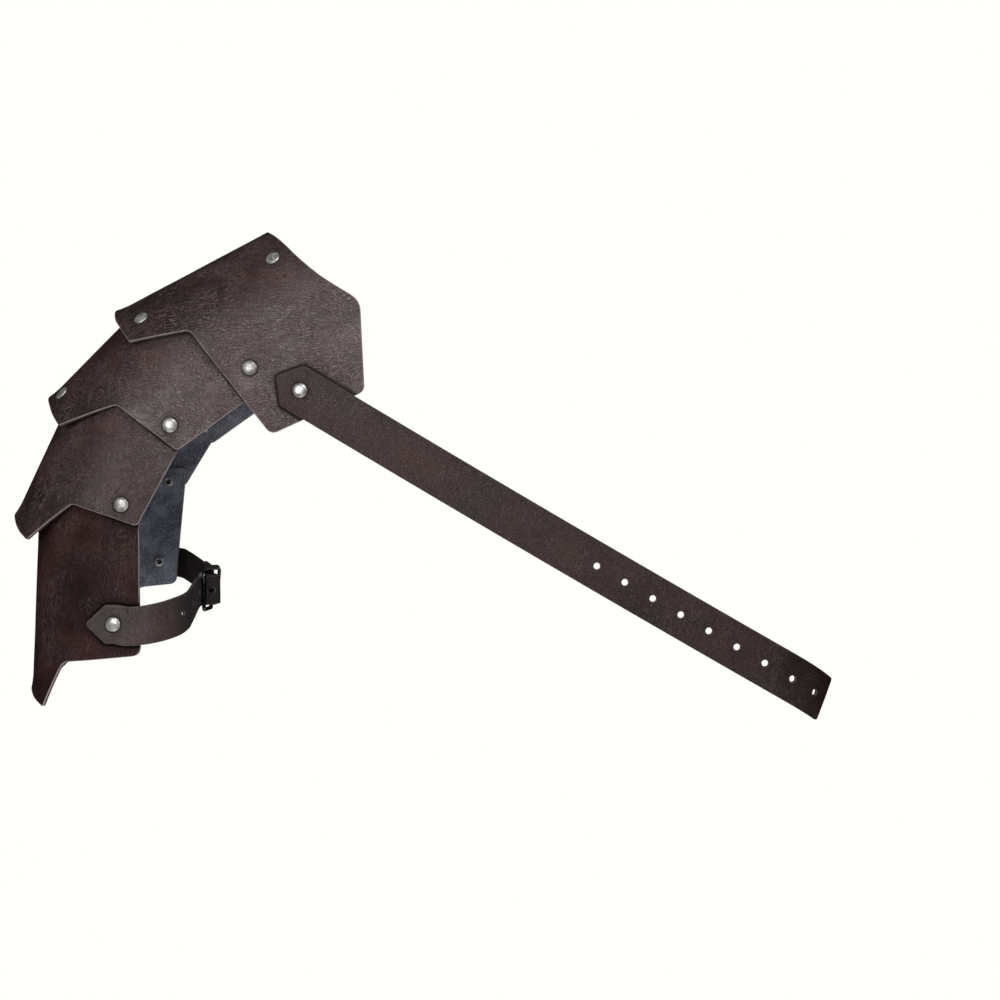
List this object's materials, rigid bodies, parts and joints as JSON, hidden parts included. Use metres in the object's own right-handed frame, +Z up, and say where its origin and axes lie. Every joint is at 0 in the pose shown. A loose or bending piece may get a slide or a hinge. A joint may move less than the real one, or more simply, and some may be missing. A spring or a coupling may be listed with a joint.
{
  "type": "pauldron",
  "caption": "Leather shoulder pauldron of overlapping riveted arched plates, with a punched chest strap and a buckled upper-arm strap.",
  "frame": {"origin": "the underside of the top plate's crest, where the pauldron sits on the shoulder", "axes": "+Z up, +X from the arm towards the neck, the longest extent, -Y to the wearer's front, the shortest extent"},
  "size_m": [0.5456, 0.1465, 0.3256],
  "materials": {
    "leather": "semi-gloss dark brown grained leather, paler cut edges, dark suede inside",
    "strap_leather": "satin dark brown leather",
    "rivet_steel": "worn antique silver",
    "buckle_metal": "glossy black gunmetal"
  },
  "bodies": {
    "root": {"plate_1": "leather", "plate_2": "leather", "plate_3": "leather", "plate_4": "leather", "chest_strap": "strap_leather", "arm_strap": "strap_leather", "buckle_strap": "strap_leather", "keeper_loop": "strap_leather", "buckle_frame": "buckle_metal", "buckle_prong": "buckle_metal", "rivet_neck_front": "rivet_steel", "rivet_neck_rear": "rivet_steel", "rivet_crest_1_front": "rivet_steel", "rivet_crest_1_rear": "rivet_steel", "rivet_crest_2_front": "rivet_steel", "rivet_crest_2_rear": "rivet_steel", "rivet_joint_12_front": "rivet_steel", "rivet_joint_12_rear": "rivet_steel", "rivet_joint_23_front": "rivet_steel", "rivet_joint_23_rear": "rivet_steel", "rivet_joint_34_front": "rivet_steel", "rivet_joint_34_rear": "rivet_steel", "rivet_chest_strap": "rivet_steel", "rivet_arm_strap": "rivet_steel", "rivet_buckle_strap": "rivet_steel", "rivet_fold": "rivet_steel"}
  },
  "joints": []
}
